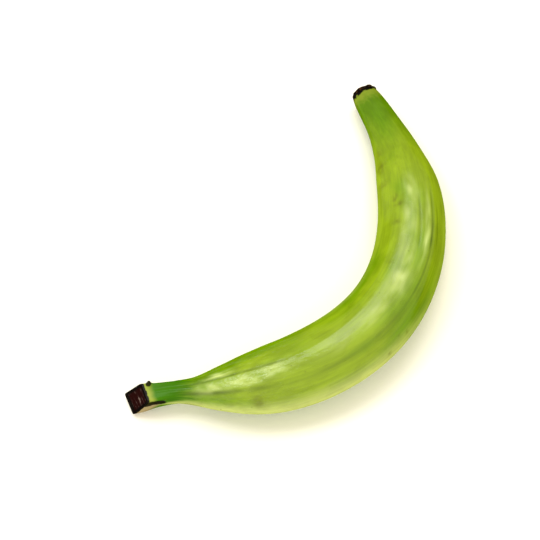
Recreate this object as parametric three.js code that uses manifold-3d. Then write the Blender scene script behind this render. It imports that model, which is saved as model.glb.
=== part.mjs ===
// Green plantain: one grown fruit lying on its side, with its stem cut at a slant
// and the dried scar of the flower at its tip. Millimetres, +Z up.
import * as THREE from 'three';
import { mergeVertices } from 'three/addons/utils/BufferGeometryUtils.js';
import Module from 'manifold-3d';

// Middle line of the fruit seen from above, stem end first.
// It lies about along X and the back of the curve bulges towards -Y.
const MIDDLE_LINE = new THREE.CubicBezierCurve3(
  new THREE.Vector3(-134.4, 4.4, 0),
  new THREE.Vector3(-75.9, -133.7, 0),
  new THREE.Vector3(50, -135.1, 0),
  new THREE.Vector3(130.9, -2.6, 0),
);

// Share of the length from the stem end, radius to the flat sides,
// height of the middle line above the table.
const STATIONS = [
  [0.00, 7.4, 10.0],
  [0.038, 6.8, 9.6],
  [0.068, 6.1, 11.6],
  [0.116, 7.1, 13.8],
  [0.164, 11.6, 16.2],
  [0.214, 16.1, 17.4],
  [0.262, 18.6, 18.3],
  [0.363, 20.2, 19.9],
  [0.514, 20.5, 20.1],
  [0.66, 20.2, 19.8],
  [0.76, 18.9, 18.5],
  [0.84, 14.9, 15.6],
  [0.91, 11.6, 13.2],
  [0.983, 9.2, 11.8],
  [1.00, 8.1, 11.6],
];
const RADIUS = 1;
const HEIGHT = 2;

// The end of the stem hooks towards the back of the curve.
const HOOK_SHARE = 0.10;
const HOOK_SHIFT = 8.5;
const HOOK_CURVE = 1.5;

// Directions that the flat sides face, in degrees: 0 is the back of the curve, 90 is up
// and 270 is the side that the fruit lies on.
const SIDES = [30, 80, 127, 195, 270, 326];

// The ridge along the top wanders: share of the length and degrees towards the hollow
// of the bend, and how far each side turns with it.
const TOP_RIDGE_TURN = [
  [0.00, 0],
  [0.12, -4],
  [0.25, -7],
  [0.32, -6],
  [0.42, 2],
  [0.52, 9],
  [0.60, 11],
  [0.70, 6],
  [0.82, 2],
  [1.00, 0],
];
const SIDE_TURN = [-0.5, 0.5, 1.5, 0.9, 0, 0];

// How sharp the ridges between the sides are: share of the length, power.
const RIDGE_POWER = [
  [0.00, 14],
  [0.11, 14],
  [0.26, 9],
  [0.75, 8],
  [1.00, 6],
];

// The stem is four-sided, and turns into the six-sided fruit between these shares of the length.
const STEM_SIDES = [0, 84, 176, 271];
const STEM_POWER = 14;
const STEM_SHARE = 0.03;
const FRUIT_SHARE = 0.13;

// Slanted cut through the stem: share of the length and angles of its face,
// tilt from level and turn away from the stem's own direction, in degrees.
const CUT_SHARE = 0.0277;
const CUT_TILT = 54;
const CUT_TURN = 32;
const KNIFE_SIZE = 60;

// Dried scar at the tip: a low lumpy cap and a short stub beside its middle.
const SCAR_RADIUS = 8.7;
const SCAR_RISE = 3.6;
const SCAR_SINK = 0.8;
const SCAR_LOBES = 0.045;
const SCAR_STUB = { radius: 2.4, back: -1.5, up: 2, rise: 1.6 };

// Faces around the fruit and along it.
const AROUND = 48;
const ALONG = 76;
const END_CROWDING = 0.55;

const SKIN_GREEN = new THREE.MeshStandardMaterial({
  name: 'unripe skin',
  color: '#86a821',
  roughness: 0.42,
  metalness: 0,
});

// Smooth curve through a column of stations, with the slope at each taken from its neighbours.
function valueAt(stations, share, column) {
  const last = stations.length - 1;
  let i = 0;
  while (i < last - 1 && share > stations[i + 1][0]) i += 1;
  const slopeAt = (k) => {
    const before = stations[Math.max(k - 1, 0)];
    const after = stations[Math.min(k + 1, last)];
    return (after[column] - before[column]) / (after[0] - before[0]);
  };
  const span = stations[i + 1][0] - stations[i][0];
  const u = (share - stations[i][0]) / span;
  const fromStart = stations[i][column] * (1 + 2 * u) + slopeAt(i) * span * u;
  const fromEnd = stations[i + 1][column] * (3 - 2 * u) - slopeAt(i + 1) * span * (1 - u);
  return fromStart * (1 - u) ** 2 + fromEnd * u ** 2;
}

// Radius of the rounded polygon with sides at distance 1.
function sideRadius(angle, sides, power) {
  let sum = 0;
  for (const side of sides) {
    sum += Math.max(0, Math.cos(angle - THREE.MathUtils.degToRad(side))) ** power;
  }
  return sum ** (-1 / power);
}

// Distance from the middle line to the skin.
function girthAt(share, angle) {
  const turn = valueAt(TOP_RIDGE_TURN, share, 1);
  const sides = SIDES.map((side, i) => side + SIDE_TURN[i] * turn);
  const stem = sideRadius(angle, STEM_SIDES, STEM_POWER);
  const fruit = sideRadius(angle, sides, valueAt(RIDGE_POWER, share, 1));
  const blend = THREE.MathUtils.smoothstep(share, STEM_SHARE, FRUIT_SHARE);
  return valueAt(STATIONS, share, RADIUS) * THREE.MathUtils.lerp(stem, fruit, blend);
}

// Place on the middle line, with the directions along the fruit, to its back and up.
function frameAt(share) {
  const along = MIDDLE_LINE.getTangentAt(share);
  const back = new THREE.Vector3(along.y, -along.x, 0);
  const up = new THREE.Vector3(0, 0, 1);
  const hook = HOOK_SHIFT * Math.max(0, 1 - share / HOOK_SHARE) ** HOOK_CURVE;
  const middle = MIDDLE_LINE.getPointAt(share).addScaledVector(back, hook);
  middle.z = valueAt(STATIONS, share, HEIGHT);
  return new THREE.Matrix4().makeBasis(back, along, up).setPosition(middle);
}

// Moves every point of a geometry by a function that changes the point in place.
function reshape(geometry, change) {
  const position = geometry.attributes.position;
  const point = new THREE.Vector3();
  for (let i = 0; i < position.count; i += 1) {
    point.fromBufferAttribute(position, i);
    change(point);
    position.setXYZ(i, point.x, point.y, point.z);
  }
  return geometry;
}

// Skin and stem: a unit cylinder swelled to the sides and bent along the middle line.
// The underside is pressed flat where it meets the table.
function fruitBody() {
  const cylinder = new THREE.CylinderGeometry(1, 1, 1, AROUND, ALONG);
  return reshape(cylinder, (point) => {
    const step = point.y + 0.5;
    const crowding = END_CROWDING * Math.sin(2 * Math.PI * step) / (2 * Math.PI);
    const share = THREE.MathUtils.clamp(step - crowding, 0, 1);
    const angle = Math.atan2(point.z, point.x);
    const girth = girthAt(share, angle);
    point.set(point.x * girth, 0, point.z * girth).applyMatrix4(frameAt(share));
    point.z = Math.max(point.z, 0);
  });
}

// Low dome with uneven lobes around its rim, rising along the end of the middle line.
function scarCap() {
  const ball = new THREE.SphereGeometry(1, 30, 14);
  return reshape(ball, (point) => {
    const turn = Math.atan2(point.z, point.x);
    const lobes = 1 + SCAR_LOBES * (Math.sin(3 * turn + 0.6) + 0.6 * Math.sin(7 * turn));
    const girth = SCAR_RADIUS * lobes;
    point.set(point.x * girth, point.y * SCAR_RISE - SCAR_SINK, point.z * girth);
    point.applyMatrix4(frameAt(1));
  });
}

function scarStub() {
  const { radius, back, up, rise } = SCAR_STUB;
  const ball = new THREE.SphereGeometry(radius, 14, 8);
  ball.translate(back, rise, up);
  return ball.applyMatrix4(frameAt(1));
}

// Block whose flat underside is the slanted cut, facing the stem end and upwards.
function stemKnife() {
  const frame = frameAt(CUT_SHARE);
  const along = new THREE.Vector3().setFromMatrixColumn(frame, 1);
  const tilt = THREE.MathUtils.degToRad(CUT_TILT);
  const up = new THREE.Vector3(0, 0, 1);
  const outward = along.negate().applyAxisAngle(up, THREE.MathUtils.degToRad(CUT_TURN));
  const normal = outward.multiplyScalar(Math.sin(tilt)).addScaledVector(up, Math.cos(tilt));
  const block = new THREE.BoxGeometry(KNIFE_SIZE, KNIFE_SIZE, KNIFE_SIZE);
  block.translate(0, 0, KNIFE_SIZE / 2);
  block.applyQuaternion(new THREE.Quaternion().setFromUnitVectors(up, normal));
  const place = new THREE.Vector3().setFromMatrixPosition(frame);
  return block.translate(place.x, place.y, place.z);
}

const wasm = await Module();
wasm.setup();

function toSolid(geometry) {
  const bare = geometry.clone();
  bare.deleteAttribute('normal');
  bare.deleteAttribute('uv');
  const merged = mergeVertices(bare, 1e-4);
  return new wasm.Manifold(new wasm.Mesh({
    numProp: 3,
    vertProperties: new Float32Array(merged.attributes.position.array),
    triVerts: new Uint32Array(merged.index.array),
  }));
}

function toGeometry(solid) {
  const mesh = solid.getMesh();
  const geometry = new THREE.BufferGeometry();
  geometry.setAttribute('position', new THREE.BufferAttribute(mesh.vertProperties, 3));
  geometry.setIndex(new THREE.BufferAttribute(mesh.triVerts, 1));
  geometry.computeVertexNormals();
  return geometry;
}

const fruit = toSolid(fruitBody())
  .subtract(toSolid(stemKnife()))
  .add(toSolid(scarCap()))
  .add(toSolid(scarStub()));

const plantain = new THREE.Mesh(toGeometry(fruit), SKIN_GREEN);
plantain.name = 'plantain';

// The origin is on the table under the middle of the fruit's outer box.
plantain.geometry.computeBoundingBox();
const box = plantain.geometry.boundingBox;
plantain.position.set(-(box.min.x + box.max.x) / 2, -(box.min.y + box.max.y) / 2, -box.min.z);

const group = new THREE.Group();
group.add(plantain);

export default group;
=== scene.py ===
"""Unripe plantain lying on its side: ribbed waxy peel, slanted stem cut and dried flower scar."""
import bisect
import math

import bmesh
import bpy
from mathutils import Matrix, Vector, geometry, noise


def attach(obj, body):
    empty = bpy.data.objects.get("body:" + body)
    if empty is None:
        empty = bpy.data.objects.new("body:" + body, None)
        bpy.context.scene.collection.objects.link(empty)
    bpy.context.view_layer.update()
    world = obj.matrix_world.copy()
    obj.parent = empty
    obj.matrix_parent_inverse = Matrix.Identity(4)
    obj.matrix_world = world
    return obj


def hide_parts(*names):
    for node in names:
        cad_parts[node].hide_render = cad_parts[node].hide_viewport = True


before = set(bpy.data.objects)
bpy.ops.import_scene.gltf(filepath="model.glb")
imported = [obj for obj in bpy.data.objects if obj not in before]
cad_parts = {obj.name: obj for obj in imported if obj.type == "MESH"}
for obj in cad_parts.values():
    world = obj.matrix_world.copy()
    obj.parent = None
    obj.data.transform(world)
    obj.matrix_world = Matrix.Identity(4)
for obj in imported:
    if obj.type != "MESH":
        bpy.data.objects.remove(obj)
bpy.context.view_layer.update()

bl_info = {
    "name": "Unripe plantain",
    "version": (1, 0, 0),
    "blender": (4, 5, 0),
    "location": "View3D > Sidebar > Plantain",
    "description": "Peel, stem cut and flower scar of an unripe plantain lying on its side",
    "category": "Add Mesh",
}

MM = 0.001
NODE = "plantain"

# Middle line of the fruit seen from above, stem end first, in millimetres: the points of a
# Bezier curve, and how many points are worked out along it.
MIDDLE_LINE = ((-134.4, 4.4), (-75.9, -133.7), (50, -135.1), (130.9, -2.6))
LINE_STEPS = 1200

# Share of the length from the stem end, radius to the flat sides, height of the middle line.
STATIONS = (
    (0.00, 7.4, 10.0),
    (0.038, 6.8, 9.6),
    (0.068, 6.1, 11.6),
    (0.116, 7.1, 13.8),
    (0.164, 11.6, 16.2),
    (0.214, 16.1, 17.4),
    (0.262, 18.6, 18.3),
    (0.363, 20.2, 19.9),
    (0.514, 20.5, 20.1),
    (0.66, 20.2, 19.8),
    (0.76, 18.9, 18.5),
    (0.84, 14.9, 15.6),
    (0.91, 11.6, 13.2),
    (0.983, 9.2, 11.8),
    (1.00, 8.1, 11.6),
)
RADIUS, HEIGHT = 1, 2

# The end of the stem hooks towards the back of the curve.
HOOK_SHARE = 0.10
HOOK_SHIFT = 8.5
HOOK_CURVE = 1.5

# Directions that the flat sides face: 0 is the back of the curve, 90 is up, 270 is down.
SIDES = (30, 80, 127, 195, 270, 326)

# The ridge along the top wanders: share of the length and degrees towards the hollow
# of the bend, and how far each side turns with it.
TOP_RIDGE_TURN = (
    (0.00, 0),
    (0.12, -4),
    (0.25, -7),
    (0.32, -6),
    (0.42, 2),
    (0.52, 9),
    (0.60, 11),
    (0.70, 6),
    (0.82, 2),
    (1.00, 0),
)
SIDE_TURN = (-0.5, 0.5, 1.5, 0.9, 0, 0)

# How sharp the ridges between the sides are: share of the length, power.
RIDGE_POWER = ((0.00, 14), (0.11, 14), (0.26, 9), (0.75, 8), (1.00, 6))

# The stem is four-sided, and turns into the six-sided fruit between these shares of the length.
STEM_SIDES = (0, 84, 176, 271)
STEM_POWER = 14
STEM_SHARE = 0.03
FRUIT_SHARE = 0.13

# Slanted cut through the stem: its place, tilt from level and turn from the stem's direction.
# Its edge is found by halving, between the stem's end and CUT_LIMIT.
CUT_SHARE = 0.0277
CUT_TILT = 54
CUT_TURN = 32
CUT_LIMIT = 0.12
CUT_HALVINGS = 22

# The cut face of the peel: widths of its rings as shares of the radius, and how deep it is sunk
# inside its wall, in millimetres.
CAP_INSETS = (0.06, 0.09, 0.08, 0.12)
CUT_RECESS = 1.6

# How much the rings of faces crowd towards both ends of the fruit.
END_CROWDING = 0.5

# Dried flesh in the cut: faces around, rings and their width, the share of the peel's wall that
# it reaches into, how much further its middle has shrunk, and in millimetres how deep it goes
# and how long and wide its torn fibres are.
FLESH_AROUND = 120
FLESH_RINGS = 18
FLESH_RING = 0.05
FLESH_IN_WALL = 0.55
FLESH_HOLLOW = 0.8
FLESH_DEPTH = 4.0
FIBRE_SIZE = (9, 1.6)

# Dried scar at the tip: a low lobed cap and a short stub beside its middle.
SCAR_RADIUS = 8.7
SCAR_RISE = 3.6
SCAR_SINK = 0.8
SCAR_LOBES = 0.045
STUB_RADIUS = 2.4
STUB_RISE = 1.5
STUB_PLACE = (-1.5, 1.6, 2.0)
LUMP_SIZE = 3.2
SCAR_AROUND = 128
SCAR_RINGS = 64

# Shift from the middle line's own frame to the part's frame, whose origin is on the table
# under the middle of the fruit's outer box.
PLACE = (1.805, 59.589)
UP = Vector((0, 0, 1))

# Relief of the peel: width and length in millimetres of its swells and of the stretches where
# the ridges' seams stand out, width of a seam, and depth of a crease against a seam's height.
SWELL_SIZE = (26, 45)
SEAM_STRETCH = (9, 30)
SEAM_WIDTH = 1.1
CREASE_DEPTH = 1.2

# Furrows at the neck and the tip: how closely they stand, their length in millimetres, and
# their depth at the tip against the neck's.
FURROW_CROWDING = 3.6
FURROW_LENGTH = 38
TIP_FURROWS = 0.5

# Where each of them rises or fades, as shares of the length.
SEAM_RISE, SEAM_FADE = (0.13, 0.20), (0.3, 0.5)
NECK_RISE, NECK_FADE = (0.03, 0.09), (0.16, 0.30)
TIP_RISE = (0.86, 0.97)

# Measures that the peel's mesh carries to its material, in the order that it reads them.
PEEL_MEASURES = ("share", "crease", "bruise", "highlight_spots", "upward", "rim", "sap")

# Marks on this fruit's peel: share of the length, direction in degrees,
# length and width in millimetres, strength.
BRUISES = (
    (0.70, 126, 6, 3, 0.75),
    (0.684, 119, 3, 5, 0.75),
    (0.642, 122, 3, 5, 0.6),
    (0.745, 150, 4, 6, 0.5),
    (0.79, 152, 7, 5, 0.6),
    (0.83, 150, 5, 4, 0.45),
    (0.55, 112, 2, 3, 0.45),
    (0.222, 28, 4, 6, 0.75),
    (0.185, 24, 5, 2, 0.3),
    (0.43, 12, 1.6, 1.6, 0.8),
    (0.47, 17, 1.4, 1.8, 0.7),
    (0.455, 26, 1.2, 1.2, 0.6),
)

# Painted highlights: pale spots that stand for reflections of the lamps on the waxy peel, as for
# the bruises.
PAINTED_HIGHLIGHTS = (
    (0.15, 74, 10, 5, 0.7),
    (0.165, 110, 10, 2.8, 0.9),
    (0.20, 76, 13, 5, 0.9),
    (0.25, 84, 12, 5, 0.7),
    (0.36, 82, 16, 5, 0.4),
    (0.44, 84, 16, 5, 0.45),
    (0.52, 85, 14, 7, 0.6),
    (0.58, 92, 14, 5, 0.5),
    (0.635, 66, 24, 2.2, 1.4),
    (0.65, 97, 18, 6, 0.55),
    (0.71, 94, 15, 6, 0.5),
)

# Dark creases in the peel: where each starts and ends as a share of the length, its direction
# in degrees at both ends, half its width in millimetres, strength. They fade over LINE_FADE of
# their length at both ends.
LINE_FADE = 0.25
CREASES = (
    (0.58, 0.73, 56, 60, 0.8, 1.0),
    (0.45, 0.63, 54, 56, 0.8, 0.5),
    (0.58, 0.71, 75, 84, 0.9, 0.5),
    (0.60, 0.70, 43, 50, 0.7, 0.5),
    (0.085, 0.27, 57, 56, 1.3, 0.8),
    (0.16, 0.56, 56, 54, 2.2, 0.35),
    (0.10, 0.30, 99, 97, 0.8, 0.6),
    (0.08, 0.22, 0, -8, 1.2, 0.4),
)

# Black sap dried in runs beside the cut, as for the creases.
SAP_RUNS = (
    (0.03, 0.084, 34, 12, 1.9, 1.2),
    (0.03, 0.06, 20, 8, 1.0, 0.7),
)

# Dried nub beside the cut: share of the length, direction in degrees, radius and height.
NUB = (0.046, 126, 1.3, 2.2)

# Camera: the photograph's direction over the fruit in degrees, lens and distance in
# millimetres. It looks at a point VIEW_HEIGHT above the table, and LINE_MIDDLE_IN_VIEW is how
# far right of that point and behind it the origin of the middle line lies.
VIEW_AZIMUTH = -56.83
VIEW_ELEVATION = 60
VIEW_LENS = 75
SENSOR_WIDTH = 36
VIEW_DISTANCE = 690
VIEW_HEIGHT = 20
LINE_MIDDLE_IN_VIEW = (-9.74, 35.83)

# Half the side of the floor, in metres.
FLOOR_REACH = 2.5

# Soft lamps as the camera sees them: name, place and size in metres, share of the power.
LAMPS = (
    ("far", (0.0, 0.45, 1.0), 0.6, 0.92),
    ("left", (-0.55, 0.15, 0.95), 0.4, 0.78),
    ("front", (-0.1, -1.0, 0.55), 0.7, 0.88),
)


def linear(colour):
    """An sRGB hex colour as linear red, green, blue and alpha."""
    parts = [int(colour[i : i + 2], 16) / 255 for i in (1, 3, 5)]
    light = [p / 12.92 if p <= 0.04045 else ((p + 0.055) / 1.055) ** 2.4 for p in parts]
    return (*light, 1.0)


def value_at(stations, share, column=1):
    """Smooth curve through a column of stations, its slope at each taken from the neighbours."""
    last = len(stations) - 1
    i = 0
    while i < last - 1 and share > stations[i + 1][0]:
        i += 1

    def slope(k):
        before, after = stations[max(k - 1, 0)], stations[min(k + 1, last)]
        return (after[column] - before[column]) / (after[0] - before[0])

    span = stations[i + 1][0] - stations[i][0]
    u = (share - stations[i][0]) / span
    start = stations[i][column] * (1 + 2 * u) + slope(i) * span * u
    end = stations[i + 1][column] * (3 - 2 * u) - slope(i + 1) * span * (1 - u)
    return start * (1 - u) ** 2 + end * u**2


def side_radius(angle, sides, power):
    """Radius of the rounded polygon whose sides are at distance 1."""
    facing = [max(0.0, math.cos(angle - math.radians(side))) for side in sides]
    return sum(part**power for part in facing) ** (-1 / power)


def sides_at(share):
    """Directions that the flat sides of the fruit face at a share of its length."""
    turn = value_at(TOP_RIDGE_TURN, share)
    return [side + rate * turn for side, rate in zip(SIDES, SIDE_TURN)]


def ridges_at(share):
    """Directions of the ridges between the sides, in radians."""
    sides = sides_at(share)
    return [math.radians((a + b) / 2) for a, b in zip(sides, sides[1:] + [sides[0] + 360])]


def smooth_step(low, high, value):
    """0 below low, 1 above high and a smooth rise between them."""
    t = min(max((value - low) / (high - low), 0.0), 1.0)
    return t * t * (3 - 2 * t)


def middle_line():
    """Points of the middle line, its direction and the share of its length at each, its length."""
    ends = [Vector((x, y, 0)) for x, y in MIDDLE_LINE]
    points = geometry.interpolate_bezier(ends[0], ends[1], ends[2], ends[3], LINE_STEPS)
    steps = [b - a for a, b in zip(points, points[1:])]
    reach = [0.0]
    for step in steps:
        reach.append(reach[-1] + step.length)
    ahead = [steps[0]] + [a + b for a, b in zip(steps, steps[1:])] + [steps[-1]]
    return points, [a.normalized() for a in ahead], [r / reach[-1] for r in reach], reach[-1]


POINTS, DIRECTIONS, SHARES, LENGTH = middle_line()


def frame_at(share):
    """Middle of the fruit at a share of its length, its direction there and the way to its back."""
    i = min(max(bisect.bisect_right(SHARES, share) - 1, 0), len(SHARES) - 2)
    t = (share - SHARES[i]) / (SHARES[i + 1] - SHARES[i])
    along = DIRECTIONS[i].lerp(DIRECTIONS[i + 1], min(max(t, 0), 1)).normalized()
    back = Vector((along.y, -along.x, 0))
    middle = POINTS[i] + (POINTS[i + 1] - POINTS[i]) * t
    middle += back * HOOK_SHIFT * max(0.0, 1 - share / HOOK_SHARE) ** HOOK_CURVE
    middle.z = value_at(STATIONS, min(max(share, 0), 1), HEIGHT)
    return middle, along, back


def girth_at(share, angle):
    """Distance from the middle line to the peel, without its fine relief."""
    inside = min(max(share, 0), 1)
    blend = smooth_step(STEM_SHARE, FRUIT_SHARE, inside)
    radius = 0
    if blend > 0:
        radius = side_radius(angle, sides_at(inside), value_at(RIDGE_POWER, inside))
    if blend < 1:
        radius = blend * radius + (1 - blend) * side_radius(angle, STEM_SIDES, STEM_POWER)
    return value_at(STATIONS, inside, RADIUS) * radius


def point_at(share, angle, radius):
    """Point at a distance from the middle line, in millimetres before it is set on its place."""
    middle, _, back = frame_at(share)
    return middle + back * radius * math.cos(angle) + UP * radius * math.sin(angle)


def cut_plane():
    """Point on the slanted cut and the direction that its face looks in."""
    middle, along, _ = frame_at(CUT_SHARE)
    outward = -along
    outward.rotate(Matrix.Rotation(math.radians(CUT_TURN), 3, "Z"))
    tilt = math.radians(CUT_TILT)
    return middle, outward * math.sin(tilt) + UP * math.cos(tilt)


CUT_POINT, CUT_FACING = cut_plane()


def end_share(angle, fraction):
    """Share at which a line along the stem meets its slanted cut, or its blunt end below that."""

    def height(share):
        radius = fraction * girth_at(share, angle)
        return (point_at(share, angle, radius) - CUT_POINT).dot(CUT_FACING)

    if height(0) <= 0:
        return 0.0
    low, high = 0.0, CUT_LIMIT
    for _ in range(CUT_HALVINGS):
        middle = (low + high) / 2
        if height(middle) > 0:
            low = middle
        else:
            high = middle
    return high


def placed(point):
    """Millimetres of the middle line's frame to metres of the part's frame, not below the table."""
    return Vector((point.x + PLACE[0], point.y + PLACE[1], max(point.z, 0))) * MM


def turn_between(a, b):
    """Smallest turn from one angle to another."""
    return (a - b + math.pi) % math.tau - math.pi


def lines_at(lines, share, angle, girth):
    """How strongly a set of lines along the fruit marks the peel: 0 is clear."""
    dark = 0.0
    for start, end, first, last, wide, strength in lines:
        reach = (share - start) / (end - start)
        away = turn_between(angle, math.radians(first + (last - first) * reach)) * girth / wide
        fade = smooth_step(0, LINE_FADE, reach) * smooth_step(0, LINE_FADE, 1 - reach)
        dark = max(dark, strength * fade * math.exp(-(away**2)))
    return dark


def nub_at(share, angle, girth):
    """1 on the dried nub beside the cut, falling to 0 around it."""
    at, facing, wide, _ = NUB
    along = (share - at) * LENGTH / wide
    across = turn_between(angle, math.radians(facing)) * girth / wide
    return math.exp(-(along**2) - across**2)


def ridge_nearness(share, angle, girth):
    """1 on the crest of a ridge, falling to 0 within about 2 mm of it."""
    nearest = min(abs(turn_between(angle, ridge)) for ridge in ridges_at(share))
    return math.exp(-((nearest * girth / SEAM_WIDTH) ** 2))


def wander(place, size):
    """Smooth noise whose swells have this width and length, from about -1 to 1."""
    wide, long = size
    return noise.noise(Vector((place.x / wide, place.y / long, place.z / wide)))


def relief_at(share, angle, girth, settings):
    """Height of the peel's own relief in millimetres: swells, seams on the ridges, creases,
    the nub beside the cut and the furrows at the neck and the tip."""
    straight = Vector((girth * math.cos(angle), share * LENGTH, girth * math.sin(angle)))
    seam = ridge_nearness(share, angle, girth) * (0.5 + 0.5 * wander(straight, SEAM_STRETCH))
    seam *= smooth_step(*SEAM_RISE, share) * (1 - 0.5 * smooth_step(*SEAM_FADE, share))
    seam -= CREASE_DEPTH * lines_at(CREASES, share, angle, girth)
    around = Vector((math.cos(angle), 0, math.sin(angle))) * FURROW_CROWDING
    around.y = share * LENGTH / FURROW_LENGTH
    neck = smooth_step(*NECK_RISE, share) * (1 - smooth_step(*NECK_FADE, share))
    tip = smooth_step(*TIP_RISE, share)
    relief = settings.swell * wander(straight, SWELL_SIZE) + settings.seam * seam
    relief += NUB[3] * MM * nub_at(share, angle, girth)
    return (relief + settings.furrow * noise.noise(around) * (neck + TIP_FURROWS * tip)) / MM


def marks_at(marks, share, angle, girth):
    """How strongly a set of ragged blotches marks the peel: 0 is clear, 1 is fully marked."""
    strongest = 0.0
    for at, facing, long, wide, strength in marks:
        along = (share - at) * LENGTH / long
        across = turn_between(angle, math.radians(facing)) * girth / wide
        grain = noise.noise(Vector((along * 1.8, across * 1.8, facing)))
        blotch = strength * math.exp(-(along**2 + across**2) * 2) * (0.7 + 0.9 * grain)
        strongest = max(strongest, blotch)
    return min(strongest, 1)


class PlantainPeel(bpy.types.PropertyGroup):
    """Sizes and colours of the peel."""

    around: bpy.props.IntProperty(
        name="Steps around", description="Faces around the fruit", default=208, min=24, max=256
    )
    lengthwise: bpy.props.IntProperty(
        name="Steps along", description="Faces along the fruit", default=420, min=40, max=450
    )
    swell: bpy.props.FloatProperty(
        name="Swell",
        description="Height of the soft swells",
        default=0.3 * MM,
        unit="LENGTH",
        precision=5,
    )
    seam: bpy.props.FloatProperty(
        name="Ridge seam",
        description="Height of the seam on a ridge",
        default=0.35 * MM,
        unit="LENGTH",
        precision=5,
    )
    furrow: bpy.props.FloatProperty(
        name="Furrow",
        description="Depth of the furrows at neck and tip",
        default=0.35 * MM,
        unit="LENGTH",
        precision=5,
    )
    wall: bpy.props.FloatProperty(
        name="Peel thickness",
        description="Peel left round the cut flesh",
        default=1.5 * MM,
        unit="LENGTH",
        precision=5,
    )
    green: bpy.props.FloatVectorProperty(
        name="Green",
        description="Main colour of the peel",
        subtype="COLOR",
        size=4,
        default=linear("#638703"),
    )
    yellow: bpy.props.FloatVectorProperty(
        name="Yellow-green",
        description="Riper patches",
        subtype="COLOR",
        size=4,
        default=linear("#809a18"),
    )
    neck: bpy.props.FloatVectorProperty(
        name="Neck green",
        description="Darker green of the neck",
        subtype="COLOR",
        size=4,
        default=linear("#376b00"),
    )
    tip: bpy.props.FloatVectorProperty(
        name="Tip green",
        description="Darker green of the tip",
        subtype="COLOR",
        size=4,
        default=linear("#507704"),
    )
    pale: bpy.props.FloatVectorProperty(
        name="Pale band",
        description="Dry pale peel beside the cut",
        subtype="COLOR",
        size=4,
        default=linear("#919f3e"),
    )
    # Painted reflected light: the colour of light bounced up from the pale floor onto the low back
    # of the curve.
    floor_bounce_tint: bpy.props.FloatVectorProperty(
        name="Belly",
        description="Paler peel low on the back",
        subtype="COLOR",
        size=4,
        default=linear("#b3bf6b"),
    )
    # Colour of the painted highlights on the peel.
    highlight_tint: bpy.props.FloatVectorProperty(
        name="Scuffs",
        description="Dry pale bloom",
        subtype="COLOR",
        size=4,
        default=linear("#c3d484"),
    )
    dried: bpy.props.FloatVectorProperty(
        name="Dried peel",
        description="Tan peel below the cut",
        subtype="COLOR",
        size=4,
        default=linear("#9c8a68"),
    )
    ring: bpy.props.FloatVectorProperty(
        name="Scar ring",
        description="Olive-tan ring by the scar",
        subtype="COLOR",
        size=4,
        default=linear("#84902c"),
    )
    line: bpy.props.FloatVectorProperty(
        name="Ridge line",
        description="Olive line along a ridge",
        subtype="COLOR",
        size=4,
        default=linear("#3c5004"),
    )
    mark: bpy.props.FloatVectorProperty(
        name="Marks",
        description="Rubbed and bruised peel",
        subtype="COLOR",
        size=4,
        default=linear("#565c0a"),
    )
    latex: bpy.props.FloatVectorProperty(
        name="Dried sap",
        description="Black sap at the cut and the scar",
        subtype="COLOR",
        size=4,
        default=linear("#0a0603"),
    )


class PlantainStemCut(bpy.types.PropertyGroup):
    """Sizes and colours of the cut end of the stem."""

    sunk: bpy.props.FloatProperty(
        name="Sunk",
        description="How far the flesh has shrunk below the peel",
        default=0.5 * MM,
        unit="LENGTH",
        precision=5,
    )
    fibre: bpy.props.FloatProperty(
        name="Fibre relief",
        description="Height of the torn fibres",
        default=0.35 * MM,
        unit="LENGTH",
        precision=5,
    )
    flesh: bpy.props.FloatVectorProperty(
        name="Cut flesh",
        description="Dark red-brown dried flesh",
        subtype="COLOR",
        size=4,
        default=linear("#1e0403"),
    )
    fibres: bpy.props.FloatVectorProperty(
        name="Fibres",
        description="Grey-brown dried fibres",
        subtype="COLOR",
        size=4,
        default=linear("#82706a"),
    )
    rim: bpy.props.FloatVectorProperty(
        name="Rim",
        description="Black rim of dried sap",
        subtype="COLOR",
        size=4,
        default=linear("#080302"),
    )


class PlantainScar(bpy.types.PropertyGroup):
    """Sizes and colours of the dried flower scar."""

    crumple: bpy.props.FloatProperty(
        name="Crumple",
        description="Height of the scar's lumps",
        default=0.55 * MM,
        unit="LENGTH",
        precision=5,
    )
    crust: bpy.props.FloatVectorProperty(
        name="Crust",
        description="Black-brown dried crust",
        subtype="COLOR",
        size=4,
        default=linear("#0a0604"),
    )
    edge: bpy.props.FloatVectorProperty(
        name="Edge",
        description="Brown where the crust thins out",
        subtype="COLOR",
        size=4,
        default=linear("#4f3018"),
    )


class PlantainStage(bpy.types.PropertyGroup):
    """Floor, light and camera."""

    floor: bpy.props.FloatVectorProperty(
        name="Floor", description="Pale floor", subtype="COLOR", size=4, default=linear("#fbfaf7")
    )
    overhead: bpy.props.FloatProperty(
        name="Overhead light", description="Power of the soft light", default=4.5, unit="POWER"
    )
    sky: bpy.props.FloatProperty(name="Fill", description="Strength of the even fill", default=0.98)
    warmth: bpy.props.FloatVectorProperty(
        name="Fill colour",
        description="Warm white",
        subtype="COLOR",
        size=4,
        default=linear("#fff4d8"),
    )


def add(tree, kind, inputs=None, **settings):
    """Adds a node with its settings; an input is a value or the output that feeds it."""
    node = tree.nodes.new(kind)
    for name, value in settings.items():
        setattr(node, name, value)
    for socket, value in (inputs or {}).items():
        if isinstance(value, bpy.types.NodeSocket):
            tree.links.new(value, node.inputs[socket])
        else:
            node.inputs[socket].default_value = value
    return node


def new_material(name):
    """An empty material with an output node."""
    material = bpy.data.materials.new(name)
    material.use_nodes = True
    material.node_tree.nodes.clear()
    return material, material.node_tree


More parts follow.
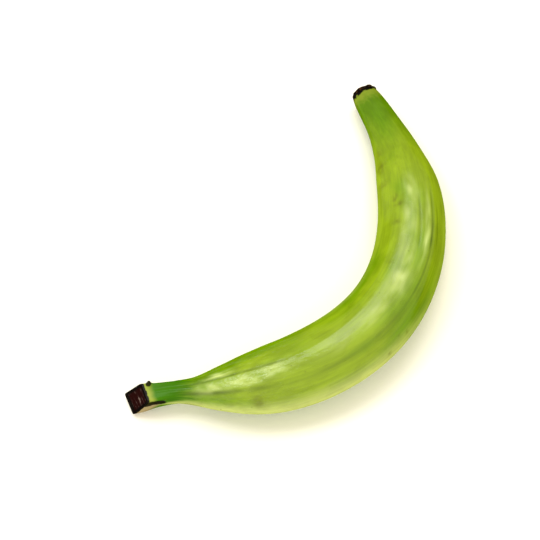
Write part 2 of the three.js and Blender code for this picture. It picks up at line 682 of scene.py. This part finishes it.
def waxy_peel(settings):
    """Unripe peel with its bloom of wax: satin, not wet, so lights show as broad soft bands.
    Colour wanders from green to yellow-green in long patches that follow the fruit."""
    material, tree = new_material("waxy unripe peel")
    straight = add(tree, "ShaderNodeAttribute", attribute_name="straight").outputs["Vector"]
    share, crease, bruise, highlight_spots, upward, rim, sap = (
        add(tree, "ShaderNodeAttribute", attribute_name=name).outputs["Fac"]
        for name in PEEL_MEASURES
    )

    # Patches about 30 mm wide and three times as long, greener by the stem, riper by the tip.
    patch_place = add(tree, "ShaderNodeMapping", {"Vector": straight, "Scale": (1, 0.33, 1)})
    patches = add(
        tree,
        "ShaderNodeTexNoise",
        {"Vector": patch_place.outputs[0], "Scale": 33.0, "Detail": 3.0, "Roughness": 0.55},
    )
    ripeness = add(
        tree,
        "ShaderNodeMapRange",
        {"Value": share, "From Min": 0.1, "From Max": 0.42, "To Min": -0.14, "To Max": 0.0},
    )
    riper_end = add(
        tree,
        "ShaderNodeMapRange",
        {"Value": share, "From Min": 0.5, "From Max": 0.64, "To Max": 0.18},
    )
    greener_end = add(
        tree, "ShaderNodeMath", {0: patches.outputs[0], 1: ripeness.outputs[0]}, operation="ADD"
    )
    patch_reach = add(
        tree,
        "ShaderNodeMath",
        {0: greener_end.outputs[0], 1: riper_end.outputs[0]},
        operation="ADD",
    )
    patch_mask = add(
        tree,
        "ShaderNodeMapRange",
        {"Value": patch_reach.outputs[0], "From Min": 0.42, "From Max": 0.62},
        interpolation_type="SMOOTHSTEP",
    )

    # Fine streaks along the fruit, about 1 mm wide and 30 mm long.
    streak_place = add(tree, "ShaderNodeMapping", {"Vector": straight, "Scale": (1, 0.035, 1)})
    streaks = add(
        tree,
        "ShaderNodeTexNoise",
        {"Vector": streak_place.outputs[0], "Scale": 900.0, "Detail": 2.0, "Roughness": 0.5},
    )
    streak_shade = add(
        tree,
        "ShaderNodeMapRange",
        {
            "Value": streaks.outputs[0],
            "From Min": 0.3,
            "From Max": 0.7,
            "To Min": 0.89,
            "To Max": 1.08,
        },
    )

    # Mottling about 10 mm wide, where the bloom of wax is thicker or thinner.
    bloom_place = add(tree, "ShaderNodeMapping", {"Vector": straight, "Scale": (1, 0.6, 1)})
    bloom = add(
        tree,
        "ShaderNodeTexNoise",
        {"Vector": bloom_place.outputs[0], "Scale": 105.0, "Detail": 2.0},
    )
    mottle = add(
        tree,
        "ShaderNodeMapRange",
        {
            "Value": bloom.outputs[0],
            "From Min": 0.4,
            "From Max": 0.6,
            "To Min": 0.9,
            "To Max": 1.05,
        },
    )
    shade = add(
        tree,
        "ShaderNodeMath",
        {0: streak_shade.outputs[0], 1: mottle.outputs[0]},
        operation="MULTIPLY",
    )

    # Painted reflected light: paler, creamier colour low on the back of the curve, on the stem's
    # half of the fruit, standing for light bounced up from the pale floor.
    # It fades out underneath, so a darker green line is left along the lower outline as painted
    # shade.
    low_mask = add(
        tree,
        "ShaderNodeMapRange",
        {"Value": upward, "From Min": 0.56, "From Max": 0.04, "To Max": 0.92},
        interpolation_type="SMOOTHSTEP",
    )
    half_mask = add(
        tree,
        "ShaderNodeMapRange",
        {"Value": share, "From Min": 0.4, "From Max": 0.56, "To Min": 1.0, "To Max": 0.12},
        interpolation_type="SMOOTHSTEP",
    )
    outline_shade_mask = add(
        tree,
        "ShaderNodeMapRange",
        {"Value": upward, "From Min": -0.36, "From Max": -0.12, "To Min": 0.15},
    )
    bounce_side = add(
        tree,
        "ShaderNodeMath",
        {0: low_mask.outputs[0], 1: outline_shade_mask.outputs[0]},
        operation="MULTIPLY",
    )
    floor_bounce_mask = add(
        tree,
        "ShaderNodeMath",
        {0: bounce_side.outputs[0], 1: half_mask.outputs[0]},
        operation="MULTIPLY",
    )

    # The neck and the tip are a deeper green than the body.
    neck_side = add(
        tree,
        "ShaderNodeMath",
        {0: low_mask.outputs[0], 1: 0.045, 2: share},
        operation="MULTIPLY_ADD",
    )
    neck_reach = add(
        tree,
        "ShaderNodeMath",
        {0: streaks.outputs[0], 1: 0.05, 2: neck_side.outputs[0]},
        operation="MULTIPLY_ADD",
    )
    neck_mask = add(
        tree,
        "ShaderNodeMapRange",
        {
            "Value": neck_reach.outputs[0],
            "From Min": 0.115,
            "From Max": 0.165,
            "To Min": 1.0,
            "To Max": 0.0,
        },
        interpolation_type="SMOOTHSTEP",
    )
    tip_reach = add(
        tree,
        "ShaderNodeMath",
        {0: patches.outputs[0], 1: -0.25, 2: share},
        operation="MULTIPLY_ADD",
    )
    tip_mask = add(
        tree,
        "ShaderNodeMapRange",
        {"Value": tip_reach.outputs[0], "From Min": 0.665, "From Max": 0.82, "To Max": 0.95},
        interpolation_type="SMOOTHSTEP",
    )

    # Mottled olive-tan ring where the peel meets the scar. Its edge is ragged by about 2 mm,
    # and so are the edges of the sap.
    ragged = add(tree, "ShaderNodeTexNoise", {"Vector": straight, "Scale": 420.0, "Detail": 3.0})
    ring_reach = add(
        tree,
        "ShaderNodeMath",
        {0: ragged.outputs[0], 1: 0.03, 2: share},
        operation="MULTIPLY_ADD",
    )
    ring_mask = add(
        tree,
        "ShaderNodeMapRange",
        {"Value": ring_reach.outputs[0], "From Min": 0.976, "From Max": 0.998, "To Max": 0.6},
    )

    # Olive creases along the ridges, broken up every 10 mm or so.
    broken_place = add(tree, "ShaderNodeMapping", {"Vector": straight, "Scale": (1, 0.2, 1)})
    broken = add(
        tree,
        "ShaderNodeTexNoise",
        {"Vector": broken_place.outputs[0], "Scale": 120.0, "Detail": 2.0},
    )
    broken_mask = add(
        tree,
        "ShaderNodeMapRange",
        {"Value": broken.outputs[0], "From Min": 0.35, "From Max": 0.58, "To Min": 0.45},
    )
    line_mask = add(
        tree, "ShaderNodeMath", {0: crease, 1: broken_mask.outputs[0]}, operation="MULTIPLY"
    )

    # Pale dry band beside the cut, of uneven width, and tan dried peel below it.
    band_reach = add(
        tree,
        "ShaderNodeMath",
        {0: broken.outputs[0], 1: 5 * MM, 2: rim},
        operation="MULTIPLY_ADD",
    )
    band_mask = add(
        tree,
        "ShaderNodeMapRange",
        {
            "Value": band_reach.outputs[0],
            "From Min": 4.5 * MM,
            "From Max": 9 * MM,
            "To Min": 0.9,
            "To Max": 0.0,
        },
        interpolation_type="SMOOTHSTEP",
    )
    dried_height = add(
        tree,
        "ShaderNodeMath",
        {0: streaks.outputs[0], 1: 1.2, 2: upward},
        operation="MULTIPLY_ADD",
    )
    dried_side = add(
        tree,
        "ShaderNodeMapRange",
        {"Value": dried_height.outputs[0], "From Min": 1.1, "From Max": 0.7},
    )
    dried_reach = add(
        tree,
        "ShaderNodeMapRange",
        {
            "Value": band_reach.outputs[0],
            "From Min": 9 * MM,
            "From Max": 15 * MM,
            "To Min": 0.9,
            "To Max": 0.0,
        },
    )
    dried_mask = add(
        tree,
        "ShaderNodeMath",
        {0: dried_side.outputs[0], 1: dried_reach.outputs[0]},
        operation="MULTIPLY",
    )

    # Painted highlights, torn into short flakes.
    highlight_flakes = add(
        tree,
        "ShaderNodeMapRange",
        {"Value": broken.outputs[0], "From Min": 0.38, "From Max": 0.55, "To Min": 0.35},
    )
    highlight_mask = add(
        tree,
        "ShaderNodeMath",
        {0: highlight_spots, 1: highlight_flakes.outputs[0]},
        operation="MULTIPLY",
        use_clamp=True,
    )

    # Small brown specks, up to 1 mm across, about 6 mm apart, in some cells only.
    cells = add(
        tree, "ShaderNodeTexVoronoi", {"Vector": straight, "Scale": 170.0, "Randomness": 1.0}
    )
    speck = add(
        tree,
        "ShaderNodeMapRange",
        {
            "Value": cells.outputs["Distance"],
            "From Min": 0.05,
            "From Max": 0.11,
            "To Min": 1.0,
            "To Max": 0.0,
        },
    )
    chosen = add(
        tree,
        "ShaderNodeMapRange",
        {"Value": cells.outputs["Color"], "From Min": 0.62, "From Max": 0.66, "To Max": 0.4},
    )
    speck_mask = add(
        tree, "ShaderNodeMath", {0: speck.outputs[0], 1: chosen.outputs[0]}, operation="MULTIPLY"
    )
    marks = add(
        tree, "ShaderNodeMath", {0: speck_mask.outputs[0], 1: bruise}, operation="MAXIMUM"
    )

    # Black sap on the cut rim, where the scar begins and in runs beside the cut.
    rim_reach = add(
        tree,
        "ShaderNodeMath",
        {0: ragged.outputs[0], 1: -1.6 * MM, 2: rim},
        operation="MULTIPLY_ADD",
    )
    rim_mask = add(
        tree,
        "ShaderNodeMapRange",
        {
            "Value": rim_reach.outputs[0],
            "From Min": 0.25 * MM,
            "From Max": 0.75 * MM,
            "To Min": 1.0,
            "To Max": 0.0,
        },
    )
    scar_reach = add(
        tree,
        "ShaderNodeMath",
        {0: ragged.outputs[0], 1: 0.02, 2: share},
        operation="MULTIPLY_ADD",
    )
    scar_mask = add(
        tree,
        "ShaderNodeMapRange",
        {"Value": scar_reach.outputs[0], "From Min": 0.996, "From Max": 1.001},
    )
    sap_mask = add(
        tree,
        "ShaderNodeMath",
        {0: rim_mask.outputs[0], 1: scar_mask.outputs[0]},
        operation="MAXIMUM",
    )
    run_edge = add(
        tree, "ShaderNodeMath", {0: ragged.outputs[0], 1: 0.7, 2: sap}, operation="MULTIPLY_ADD"
    )
    run_mask = add(
        tree,
        "ShaderNodeMapRange",
        {"Value": run_edge.outputs[0], "From Min": 0.65, "From Max": 0.95, "To Max": 0.95},
    )
    black_mask = add(
        tree,
        "ShaderNodeMath",
        {0: sap_mask.outputs[0], 1: run_mask.outputs[0]},
        operation="MAXIMUM",
    )

    # Each colour lies over those before it. Streaks and mottling shade the first five.
    layers = (
        (patch_mask.outputs[0], settings.yellow, "MIX"),
        # Painted reflected light from the floor, low on the back.
        (floor_bounce_mask.outputs[0], settings.floor_bounce_tint, "MIX"),
        (neck_mask.outputs[0], settings.neck, "MIX"),
        (tip_mask.outputs[0], settings.tip, "MIX"),
        (1.0, shade.outputs[0], "MULTIPLY"),
        (ring_mask.outputs[0], settings.ring, "MIX"),
        (line_mask.outputs[0], settings.line, "MIX"),
        (band_mask.outputs[0], settings.pale, "MIX"),
        (dried_mask.outputs[0], settings.dried, "MIX"),
        # Painted highlights.
        (highlight_mask.outputs[0], settings.highlight_tint, "MIX"),
        (marks.outputs[0], settings.mark, "MIX"),
        (black_mask.outputs[0], settings.latex, "MIX"),
    )
    colour = settings.green
    for mask, over, blend in layers:
        layer = add(
            tree,
            "ShaderNodeMix",
            {0: mask, 6: colour, 7: over},
            data_type="RGBA",
            blend_type=blend,
        )
        colour = layer.outputs[2]

    # Satin wax: the bloom lies in patches that are duller than the bare peel, and it scatters
    # the light at grazing edges. The neck, the tip and dried sap have little gloss.
    gloss = add(
        tree,
        "ShaderNodeMapRange",
        {
            "Value": bloom.outputs[0],
            "From Min": 0.44,
            "From Max": 0.56,
            "To Min": 0.25,
            "To Max": 0.31,
        },
    )
    roughness = add(
        tree,
        "ShaderNodeMath",
        {0: marks.outputs[0], 1: 0.25, 2: gloss.outputs[0]},
        operation="MULTIPLY_ADD",
    )
    facing = add(tree, "ShaderNodeLayerWeight", {"Blend": 0.5})
    edge_gloss = add(
        tree,
        "ShaderNodeMapRange",
        {
            "Value": facing.outputs["Facing"],
            "From Min": 0.08,
            "From Max": 0.46,
            "To Min": 0.68,
            "To Max": 0.0,
        },
    )
    green_ends = add(
        tree,
        "ShaderNodeMath",
        {0: tip_mask.outputs[0], 1: 0.6, 2: neck_mask.outputs[0]},
        operation="MULTIPLY_ADD",
    )
    dull_mask = add(
        tree,
        "ShaderNodeMath",
        {0: black_mask.outputs[0], 1: green_ends.outputs[0]},
        operation="MAXIMUM",
    )
    bare = add(
        tree,
        "ShaderNodeMapRange",
        {"Value": dull_mask.outputs[0], "To Min": 1.0, "To Max": 0.2},
    )
    gloss_level = add(
        tree, "ShaderNodeMath", {0: edge_gloss.outputs[0], 1: bare.outputs[0]}, operation="MULTIPLY"
    )

    # Pores and fibre bundles under the wax, 0.5 mm and finer, drawn slightly coarse.
    pores = add(
        tree,
        "ShaderNodeTexNoise",
        {"Vector": straight, "Scale": 1300.0, "Detail": 2.0, "Roughness": 0.6},
    )
    grain = add(
        tree,
        "ShaderNodeMath",
        {0: pores.outputs[0], 1: 0.5, 2: streaks.outputs[0]},
        operation="MULTIPLY_ADD",
    )
    bump = add(
        tree,
        "ShaderNodeBump",
        {"Height": grain.outputs[0], "Strength": 0.35, "Distance": 0.12 * MM},
    )

    # Wrinkles 3 mm apart on the shoulder, where the fruit widens from the neck.
    wrinkles = add(
        tree,
        "ShaderNodeTexNoise",
        {"Vector": bloom_place.outputs[0], "Scale": 330.0, "Detail": 2.0},
    )
    shoulder_end = add(
        tree,
        "ShaderNodeMapRange",
        {"Value": share, "From Min": 0.36, "From Max": 0.24, "To Min": 0.15},
    )
    shoulder_start = add(
        tree,
        "ShaderNodeMapRange",
        {"Value": share, "From Min": 0.1, "From Max": 0.15, "To Min": 0.15},
    )
    shoulder = add(
        tree,
        "ShaderNodeMath",
        {0: shoulder_end.outputs[0], 1: shoulder_start.outputs[0]},
        operation="MINIMUM",
    )
    wrinkled = add(
        tree,
        "ShaderNodeBump",
        {
            "Height": wrinkles.outputs[0],
            "Strength": shoulder.outputs[0],
            "Distance": 0.9 * MM,
            "Normal": bump.outputs[0],
        },
    )
    shader = add(
        tree,
        "ShaderNodeBsdfPrincipled",
        {
            "Base Color": colour,
            "Roughness": roughness.outputs[0],
            "IOR": 1.4,
            "Specular IOR Level": gloss_level.outputs[0],
            "Normal": wrinkled.outputs[0],
        },
    )
    add(tree, "ShaderNodeOutputMaterial", {"Surface": shader.outputs[0]})
    return material


def dried_stem_flesh(settings):
    """Cut stem flesh, dried to dark red-brown: rough, with paler torn fibres lying across it.
    The dry face is porous and throws back no highlight, so its IOR is low."""
    material, tree = new_material("dried cut stem")
    across = add(tree, "ShaderNodeAttribute", attribute_name="cut_grain").outputs["Vector"]
    edge = add(tree, "ShaderNodeAttribute", attribute_name="edge").outputs["Fac"]

    # Fibres about 1.5 mm wide and 10 mm long, torn out in bundles 4 mm across.
    fibre_place = add(tree, "ShaderNodeMapping", {"Vector": across, "Scale": (0.16, 1, 1)})
    fibres = add(
        tree,
        "ShaderNodeTexNoise",
        {"Vector": fibre_place.outputs[0], "Scale": 620.0, "Detail": 3.0, "Roughness": 0.6},
    )
    fibre_mask = add(
        tree,
        "ShaderNodeMapRange",
        {"Value": fibres.outputs[0], "From Min": 0.52, "From Max": 0.66, "To Max": 0.85},
        interpolation_type="SMOOTHSTEP",
    )
    bundles = add(tree, "ShaderNodeTexNoise", {"Vector": across, "Scale": 260.0, "Detail": 1.0})
    bundle_mask = add(
        tree,
        "ShaderNodeMapRange",
        {"Value": bundles.outputs[0], "From Min": 0.42, "From Max": 0.58, "To Min": 0.1},
    )
    torn = add(
        tree,
        "ShaderNodeMath",
        {0: fibre_mask.outputs[0], 1: bundle_mask.outputs[0]},
        operation="MULTIPLY",
    )
    flesh = add(
        tree,
        "ShaderNodeMix",
        {0: torn.outputs[0], 6: settings.flesh, 7: settings.fibres},
        data_type="RGBA",
    )

    # The outer fifth of the face is black with sap.
    rim_mask = add(
        tree,
        "ShaderNodeMapRange",
        {"Value": edge, "From Min": 0.72, "From Max": 0.94},
        interpolation_type="SMOOTHSTEP",
    )
    colour = add(
        tree,
        "ShaderNodeMix",
        {0: rim_mask.outputs[0], 6: flesh.outputs[2], 7: settings.rim},
        data_type="RGBA",
    )
    bump = add(
        tree,
        "ShaderNodeBump",
        {"Height": fibres.outputs[0], "Strength": 0.6, "Distance": 0.25 * MM},
    )
    shader = add(
        tree,
        "ShaderNodeBsdfPrincipled",
        {"Base Color": colour.outputs[2], "Roughness": 0.85, "IOR": 1.1, "Normal": bump.outputs[0]},
    )
    add(tree, "ShaderNodeOutputMaterial", {"Surface": shader.outputs[0]})
    return material


def dried_scar_crust(settings):
    """Crust of the dried flower: black-brown, crumbly and dull, browner where it thins out.
    Its crumbs are 2 to 3 mm, and its IOR is low for the same reason as the stem's."""
    material, tree = new_material("dried flower crust")
    place = add(tree, "ShaderNodeTexCoord").outputs["Object"]
    lumps = add(
        tree,
        "ShaderNodeTexNoise",
        {"Vector": place, "Scale": 380.0, "Detail": 4.0, "Roughness": 0.6},
    )
    brown_mask = add(
        tree,
        "ShaderNodeMapRange",
        {"Value": lumps.outputs[0], "From Min": 0.52, "From Max": 0.7, "To Max": 0.8},
    )
    colour = add(
        tree,
        "ShaderNodeMix",
        {0: brown_mask.outputs[0], 6: settings.crust, 7: settings.edge},
        data_type="RGBA",
    )
    bump = add(
        tree, "ShaderNodeBump", {"Height": lumps.outputs[0], "Strength": 0.8, "Distance": 0.4 * MM}
    )
    shader = add(
        tree,
        "ShaderNodeBsdfPrincipled",
        {"Base Color": colour.outputs[2], "Roughness": 0.8, "IOR": 1.12, "Normal": bump.outputs[0]},
    )
    add(tree, "ShaderNodeOutputMaterial", {"Surface": shader.outputs[0]})
    return material


def pale_floor(settings):
    """Smooth pale tabletop, matt enough to show only soft shade."""
    material, tree = new_material("pale tabletop")
    shader = add(
        tree,
        "ShaderNodeBsdfPrincipled",
        {"Base Color": settings.floor, "Roughness": 0.8, "IOR": 1.45},
    )
    add(tree, "ShaderNodeOutputMaterial", {"Surface": shader.outputs[0]})
    return material


def finish_piece(bm, name, material):
    """Turns a bmesh into a smooth-shaded piece that stands for the solid fruit."""
    bmesh.ops.recalc_face_normals(bm, faces=bm.faces)
    mesh = bpy.data.meshes.new(name)
    bm.to_mesh(mesh)
    bm.free()
    mesh.shade_smooth()
    mesh.materials.append(material)
    piece = bpy.data.objects.new(name, mesh)
    bpy.context.scene.collection.objects.link(piece)
    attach(piece, "root")
    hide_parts(NODE)
    return piece


class PLANTAIN_OT_peel(bpy.types.Operator):
    """Swell a cylinder to the ribbed, bent peel, open at the cut end of the stem"""

    bl_idname = "plantain.peel"
    bl_label = "Peel"

    def execute(self, context):
        settings = context.scene.plantain_peel
        bm = bmesh.new()
        bmesh.ops.create_cone(
            bm, cap_ends=True, segments=settings.around, radius1=1, radius2=1, depth=1
        )
        long_edges = [e for e in bm.edges if abs(e.verts[0].co.z - e.verts[1].co.z) > 0.5]
        bmesh.ops.subdivide_edges(bm, edges=long_edges, cuts=settings.lengthwise - 1)
        stem_cap = [f for f in bm.faces if f.calc_center_median().z > 0.4999 and len(f.verts) > 4]
        for width in CAP_INSETS:
            bmesh.ops.inset_region(bm, faces=stem_cap, thickness=width, use_even_offset=False)
        straight_layer = bm.verts.layers.float_vector.new("straight")
        layers = {name: bm.verts.layers.float.new(name) for name in PEEL_MEASURES}
        stem_ends = {}
        wall = settings.wall / MM
        for vert in bm.verts:
            x, y, z = vert.co
            angle = math.atan2(y, x) % math.tau
            fraction = min(math.hypot(x, y), 1.0)
            if fraction > 0.999:
                # On the side of the fruit, or on the edge of one of its ends.
                key = round(angle, 5)
                if key not in stem_ends:
                    stem_ends[key] = end_share(angle, 1)
                start = stem_ends[key]
                step = min(max(0.5 - z, 0.0), 1.0)
                eased = step - END_CROWDING * math.sin(math.tau * step) / math.tau
                share = start + (1 - start) * eased
                girth = girth_at(share, angle)
                radius = girth + relief_at(share, angle, girth, settings)
                rim = (share - start) * LENGTH
            else:
                # On the cut, sunk inside the wall of the peel, where the flesh covers it.
                share = end_share(angle, fraction)
                girth = girth_at(share, angle)
                radius = fraction * girth
                rim = 0.0
                deep = smooth_step(0.3 * wall, wall, girth - radius)
                share += CUT_RECESS * deep / LENGTH
            vert.co = placed(point_at(share, angle, radius))
            vert[straight_layer] = (
                girth * math.cos(angle) * MM,
                share * LENGTH * MM,
                girth * math.sin(angle) * MM,
            )
            nub = min(2 * nub_at(share, angle, girth), 1)
            measures = {
                "share": share,
                "crease": lines_at(CREASES, share, angle, girth),
                "bruise": marks_at(BRUISES, share, angle, girth),
                # Painted highlights on the peel.
                "highlight_spots": marks_at(PAINTED_HIGHLIGHTS, share, angle, girth),
                "upward": math.sin(angle),
                "rim": rim * MM,
                "sap": max(lines_at(SAP_RUNS, share, angle, girth), nub),
            }
            for name, measure in measures.items():
                vert[layers[name]] = measure
        finish_piece(bm, "peel", waxy_peel(settings))
        return {"FINISHED"}


class PLANTAIN_OT_stem_cut(bpy.types.Operator):
    """Set the shrunken, fibrous flesh into the cut end of the stem"""

    bl_idname = "plantain.stem_cut"
    bl_label = "Stem cut"

    def execute(self, context):
        settings = context.scene.plantain_stem_cut
        wall = context.scene.plantain_peel.wall / MM
        bm = bmesh.new()
        bmesh.ops.create_cone(
            bm, cap_ends=True, segments=FLESH_AROUND, radius1=1, radius2=1, depth=1
        )
        top = [f for f in bm.faces if f.calc_center_median().z > 0.49]
        for _ in range(FLESH_RINGS):
            bmesh.ops.inset_region(bm, faces=top, thickness=FLESH_RING, use_even_offset=False)
        grain_layer = bm.verts.layers.float_vector.new("cut_grain")
        edge_layer = bm.verts.layers.float.new("edge")
        across = UP.cross(CUT_FACING).normalized()
        down = across.cross(CUT_FACING)
        long, wide = FIBRE_SIZE
        for vert in bm.verts:
            x, y, z = vert.co
            angle = math.atan2(y, x) % math.tau
            fraction = min(math.hypot(x, y), 1.0)
            rim_share = end_share(angle, 1)
            inner = 1 - FLESH_IN_WALL * wall / girth_at(rim_share, angle)
            share = end_share(angle, fraction * inner)
            radius = fraction * inner * girth_at(share, angle)
            point = point_at(share, angle, radius)
            grain = Vector(((point - CUT_POINT).dot(across), (point - CUT_POINT).dot(down), 0))
            fibre = noise.fractal(Vector((grain.x / long, grain.y / wide, 0)), 0.9, 2, 3)
            lift = settings.fibre / MM * fibre - settings.sunk / MM
            lift -= FLESH_HOLLOW * (1 - fraction**2) * settings.sunk / MM
            if z < 0:
                lift = -FLESH_DEPTH
            vert.co = placed(point_at(share - lift / LENGTH, angle, radius))
            vert[grain_layer] = grain * MM
            vert[edge_layer] = fraction
        finish_piece(bm, "stem_cut", dried_stem_flesh(settings))
        return {"FINISHED"}


class PLANTAIN_OT_flower_scar(bpy.types.Operator):
    """Grow the crumpled black crust and the flower's stub on the tip"""

    bl_idname = "plantain.flower_scar"
    bl_label = "Flower scar"

    def execute(self, context):
        settings = context.scene.plantain_scar
        middle, along, back = frame_at(1)
        stub = Vector(STUB_PLACE)
        bm = bmesh.new()
        bmesh.ops.create_uvsphere(bm, u_segments=SCAR_AROUND, v_segments=SCAR_RINGS, radius=1)
        for vert in bm.verts:
            x, y, z = vert.co
            turn = math.atan2(y, x)
            lobes = 1 + SCAR_LOBES * (math.sin(3 * turn + 0.6) + 0.6 * math.sin(7 * turn))
            girth = SCAR_RADIUS * lobes
            cap = Vector((x * girth, z * SCAR_RISE - SCAR_SINK, y * girth))
            reach = math.hypot(cap.x - stub.x, cap.z - stub.z) / STUB_RADIUS
            if z > 0:
                cap.y += STUB_RISE * math.exp(-(reach**2))
            crumple = noise.fractal(cap / LUMP_SIZE, 0.8, 2.1, 4)
            cap += Vector((x, z, y)).normalized() * crumple * settings.crumple / MM
            vert.co = placed(middle + back * cap.x + along * cap.y + UP * cap.z)
        finish_piece(bm, "flower_scar", dried_scar_crust(settings))
        return {"FINISHED"}


class PLANTAIN_OT_stage(bpy.types.Operator):
    """Lay the pale floor, hang the soft lights and set the camera"""

    bl_idname = "plantain.stage"
    bl_label = "Stage"

    def execute(self, context):
        settings = context.scene.plantain_stage
        scene = context.scene
        bm = bmesh.new()
        bmesh.ops.create_grid(bm, x_segments=1, y_segments=1, size=FLOOR_REACH)
        mesh = bpy.data.meshes.new("tabletop")
        bm.to_mesh(mesh)
        bm.free()
        mesh.materials.append(pale_floor(settings))
        floor = bpy.data.objects.new("tabletop", mesh)
        scene.collection.objects.link(floor)

        turn = Matrix.Rotation(math.radians(VIEW_AZIMUTH), 3, "Z")
        place = Vector((PLACE[0], PLACE[1], VIEW_HEIGHT))
        shift = Vector((-LINE_MIDDLE_IN_VIEW[0], -LINE_MIDDLE_IN_VIEW[1], 0))
        target = (turn @ shift + place) * MM
        tilt = math.radians(VIEW_ELEVATION)
        away = turn @ Vector((0, -math.cos(tilt), math.sin(tilt)))
        camera_data = bpy.data.cameras.new("camera")
        camera_data.lens = VIEW_LENS
        camera_data.sensor_width = SENSOR_WIDTH
        camera = bpy.data.objects.new("camera", camera_data)
        camera.location = target + away * VIEW_DISTANCE * MM
        camera.rotation_euler = (-away).to_track_quat("-Z", "Y").to_euler()
        scene.collection.objects.link(camera)
        scene.camera = camera

        for name, spot, size, power in LAMPS:
            lamp_data = bpy.data.lights.new(name, "AREA")
            lamp_data.shape = "SQUARE"
            lamp_data.size = size
            lamp_data.energy = settings.overhead * power
            lamp = bpy.data.objects.new(name, lamp_data)
            lamp.location = turn @ Vector(spot)
            lamp.rotation_euler = (-lamp.location).to_track_quat("-Z", "Y").to_euler()
            # The front lamp lifts the near side and leaves no highlight on it.
            lamp.visible_glossy = name != "front"
            scene.collection.objects.link(lamp)

        world = bpy.data.worlds.new("even fill")
        world.use_nodes = True
        tree = world.node_tree
        tree.nodes.clear()
        fill = add(
            tree, "ShaderNodeBackground", {"Color": settings.warmth, "Strength": settings.sky}
        )
        add(tree, "ShaderNodeOutputWorld", {"Surface": fill.outputs[0]})
        scene.world = world
        scene.view_settings.view_transform = "Standard"
        return {"FINISHED"}


class PLANTAIN_PT_panel(bpy.types.Panel):
    """Buttons for the pieces and the stage"""

    bl_idname = "PLANTAIN_PT_panel"
    bl_label = "Plantain"
    bl_space_type = "VIEW_3D"
    bl_region_type = "UI"
    bl_category = "Plantain"

    def draw(self, context):
        layout = self.layout
        for operator, group in STEPS:
            box = layout.box()
            box.operator(operator.bl_idname)
            settings = getattr(context.scene, group)
            for name in settings.__annotations__:
                box.prop(settings, name)


STEPS = (
    (PLANTAIN_OT_peel, "plantain_peel"),
    (PLANTAIN_OT_stem_cut, "plantain_stem_cut"),
    (PLANTAIN_OT_flower_scar, "plantain_scar"),
    (PLANTAIN_OT_stage, "plantain_stage"),
)
GROUPS = {
    "plantain_peel": PlantainPeel,
    "plantain_stem_cut": PlantainStemCut,
    "plantain_scar": PlantainScar,
    "plantain_stage": PlantainStage,
}


def register():
    for name, group in GROUPS.items():
        bpy.utils.register_class(group)
        setattr(bpy.types.Scene, name, bpy.props.PointerProperty(type=group))
    for operator, _ in STEPS:
        bpy.utils.register_class(operator)
    bpy.utils.register_class(PLANTAIN_PT_panel)


def unregister():
    bpy.utils.unregister_class(PLANTAIN_PT_panel)
    for operator, _ in reversed(STEPS):
        bpy.utils.unregister_class(operator)
    for name, group in reversed(GROUPS.items()):
        delattr(bpy.types.Scene, name)
        bpy.utils.unregister_class(group)


def main():
    register()
    bpy.ops.plantain.peel()
    bpy.ops.plantain.stem_cut()
    bpy.ops.plantain.flower_scar()
    bpy.ops.plantain.stage()


if __name__ == "__main__":
    main()
